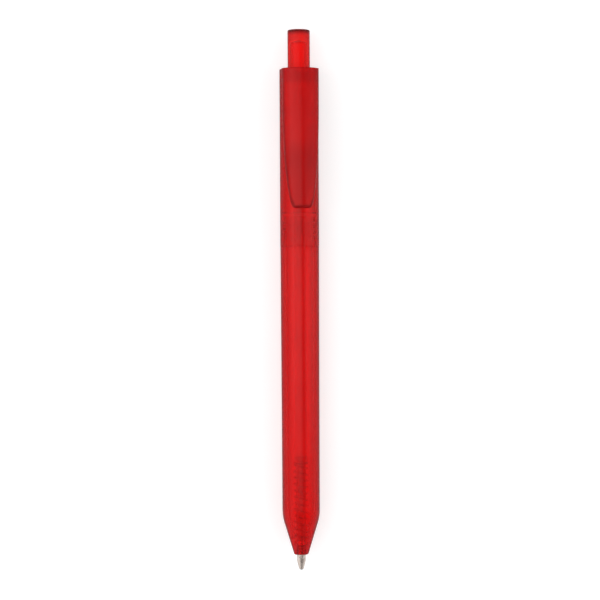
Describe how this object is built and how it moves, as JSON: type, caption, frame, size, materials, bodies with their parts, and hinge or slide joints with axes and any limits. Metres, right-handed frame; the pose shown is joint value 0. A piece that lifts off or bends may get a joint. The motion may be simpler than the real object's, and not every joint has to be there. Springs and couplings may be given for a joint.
{
  "type": "retractable ballpoint pen",
  "caption": "Push-button retractable ballpoint pen with a frosted translucent two-part barrel, a side clip, a rotating-cam click mechanism and a spring-loaded refill.",
  "frame": {"origin": "on the pen's axis at the writing point, with the point out", "axes": "+Y along the pen from the writing point to the push button, +Z towards the clip, +X to the right seen with the clip up and the button away"},
  "size_m": [0.0104, 0.1431, 0.0119],
  "materials": {
    "barrel_red": "frosted translucent red polypropylene",
    "clip_red": "satin translucent red polycarbonate",
    "button_red": "satin translucent red polycarbonate",
    "mechanism_natural": "natural acetal, satin",
    "sleeve_red": "red acetal, satin",
    "refill_white": "milky extruded polypropylene",
    "adapter_white": "moulded natural acetal",
    "ink_black": "black oil-based ink paste",
    "nickel_silver": "turned nickel silver",
    "spring_steel": "drawn steel wire",
    "carbide": "polished tungsten carbide"
  },
  "bodies": {
    "barrel": {"lower_barrel": "barrel_red", "upper_barrel": "barrel_red", "cam_sleeve": "sleeve_red", "return_spring": "spring_steel"},
    "clip": {"clip": "clip_red"},
    "refill": {"refill_tube": "refill_white", "refill_ink": "ink_black", "refill_plug": "adapter_white", "tip_adapter": "adapter_white", "point_socket": "nickel_silver"},
    "plunger": {"push_button": "button_red", "cam_plunger": "mechanism_natural"},
    "rotor": {"rotary_cam": "mechanism_natural"},
    "ball": {"writing_ball": "carbide"}
  },
  "joints": [
    {"name": "refill_travel", "type": "slide", "parent": "barrel", "child": "refill", "axis": [0, 1, 0], "range_m": [-0.0012, 0.0058], "deforming": ["return_spring"]},
    {"name": "button_travel", "type": "slide", "parent": "barrel", "child": "plunger", "axis": [0, 1, 0], "range_m": [-0.0012, 0.0058]},
    {"name": "cam_turn", "type": "hinge", "parent": "refill", "child": "rotor", "pos_m": [0, 0.1037, 0], "axis": [0, 1, 0], "continuous": true},
    {"name": "ball_roll", "type": "hinge", "parent": "refill", "child": "ball", "pos_m": [0, 0.0005, 0], "axis": [1, 0, 0], "continuous": true},
    {"name": "clip_flex", "type": "hinge", "parent": "barrel", "child": "clip", "pos_m": [0, 0.1308, 0.0046], "axis": [-1, 0, 0], "range_deg": [0, 4.5], "stiffness_Nm_per_rad": 0.02}
  ],
  "couplings": [
    {"joint": "button_travel", "follows": "refill_travel", "ratio": 1}
  ]
}
